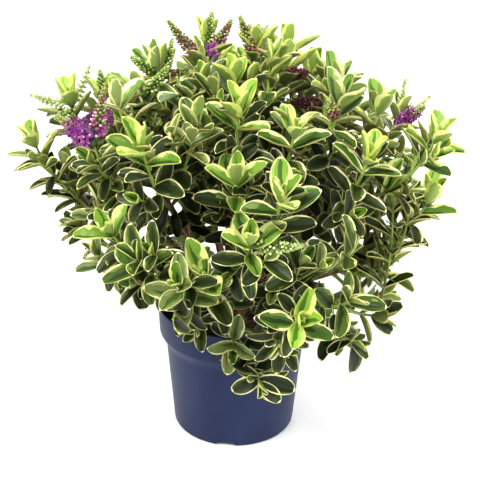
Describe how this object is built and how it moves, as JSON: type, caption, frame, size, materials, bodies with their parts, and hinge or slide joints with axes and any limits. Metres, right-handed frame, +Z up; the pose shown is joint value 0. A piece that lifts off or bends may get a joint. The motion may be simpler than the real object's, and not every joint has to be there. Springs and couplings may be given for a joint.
{
  "type": "potted variegated hebe",
  "caption": "Bushy evergreen shrub with cream-edged green leaves and purple flower spikes, in a round blue plastic nursery pot.",
  "frame": {"origin": "centre of the pot's flat underside, on the surface that the pot stands on", "axes": "+Z up, -Y the side that the picture shows, +X to the picture's right"},
  "size_m": [0.3835, 0.3848, 0.3779],
  "materials": {
    "pot": "moulded blue nursery plastic, satin",
    "compost": "moist crumbs",
    "bark": "ridged, dull",
    "leaf": "waxy leaf, dark green with cream margins, lime when young",
    "blossom": "small flowers in spikes, green in bud, purple when open"
  },
  "bodies": {
    "root": {"bough_low_1": "bark", "bough_low_2": "bark", "bough_low_3": "bark", "bough_low_4": "bark", "bough_low_5": "bark", "bough_low_6": "bark", "bough_low_7": "bark", "bough_skirt_1": "bark", "bough_skirt_2": "bark", "bough_skirt_3": "bark", "bough_skirt_4": "bark", "bough_skirt_5": "bark", "bough_skirt_6": "bark", "bough_skirt_7": "bark", "bough_top_1": "bark", "bough_top_2": "bark", "bough_top_3": "bark", "bough_top_4": "bark", "bough_upper_1": "bark", "bough_upper_2": "bark", "bough_upper_3": "bark", "bough_upper_4": "bark", "bough_upper_5": "bark", "bough_upper_6": "bark", "bough_upper_7": "bark", "mass_low_1": "leaf", "mass_low_2": "leaf", "mass_low_3": "leaf", "mass_low_4": "leaf", "mass_low_5": "leaf", "mass_low_6": "leaf", "mass_low_7": "leaf", "mass_skirt_1": "leaf", "mass_skirt_2": "leaf", "mass_skirt_3": "leaf", "mass_skirt_4": "leaf", "mass_skirt_5": "leaf", "mass_skirt_6": "leaf", "mass_skirt_7": "leaf", "mass_top_1": "leaf", "mass_top_2": "leaf", "mass_top_3": "leaf", "mass_top_4": "leaf", "mass_upper_1": "leaf", "mass_upper_2": "leaf", "mass_upper_3": "leaf", "mass_upper_4": "leaf", "mass_upper_5": "leaf", "mass_upper_6": "leaf", "mass_upper_7": "leaf", "pot": "pot", "soil": "compost", "stem": "bark"}
  },
  "joints": []
}
